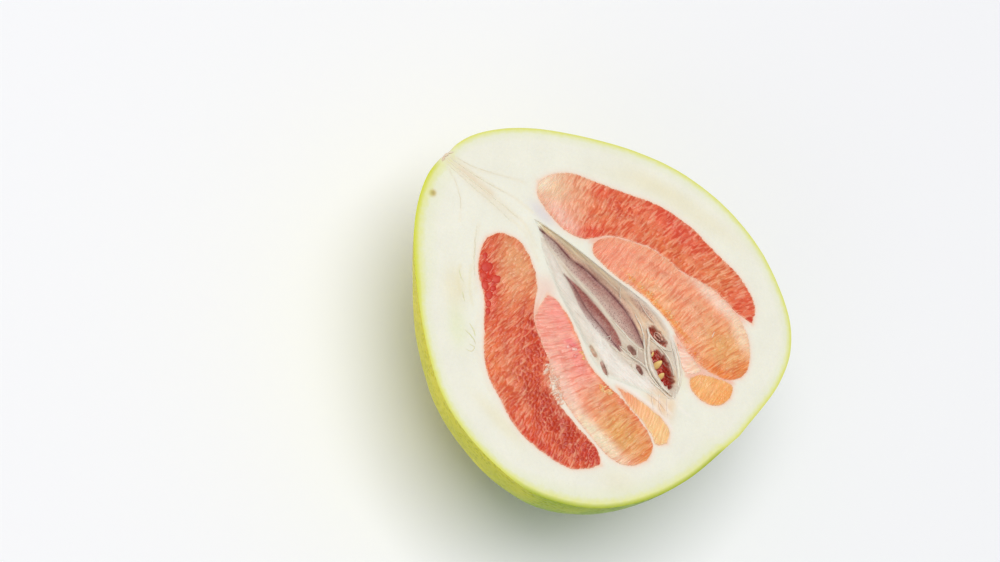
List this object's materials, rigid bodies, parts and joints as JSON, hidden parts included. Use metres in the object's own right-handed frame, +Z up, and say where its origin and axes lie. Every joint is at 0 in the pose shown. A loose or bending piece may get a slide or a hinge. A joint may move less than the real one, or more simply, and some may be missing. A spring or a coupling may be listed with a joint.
{
  "type": "pomelo half",
  "caption": "Pomelo cut in half lengthwise, cut face up, with thick pith, segments of juicy pulp and an open core, lying on its rounded back.",
  "frame": {"origin": "centre of the bounding box at the surface the half lies on", "axes": "+X from the stem end to the blossom end, +Y across the cut face, +Z up, out of the level cut face"},
  "size_m": [0.164, 0.154, 0.0765],
  "materials": {
    "peel": "waxy green-yellow rind with oil glands outside, matte white spongy pith on the cut face",
    "pulp_red": "wet red juice sacs, translucent",
    "pulp_pink": "wet pink to orange juice sacs, translucent",
    "pulp_orange": "wet pale orange juice sacs, translucent",
    "core_tissue": "soft fibrous membranes, white to mauve",
    "seed_coat": "smooth yellow aborted seed"
  },
  "bodies": {
    "root": {"peel": "peel", "pulp_outer_near": "pulp_red", "pulp_outer_far": "pulp_red", "pulp_inner_near": "pulp_pink", "pulp_inner_far": "pulp_pink", "pulp_core_far": "pulp_pink", "pulp_tip_near": "pulp_orange", "pulp_tip_far": "pulp_orange", "core_membrane": "core_tissue", "seed_1": "seed_coat", "seed_2": "seed_coat", "seed_3": "seed_coat"}
  },
  "joints": []
}
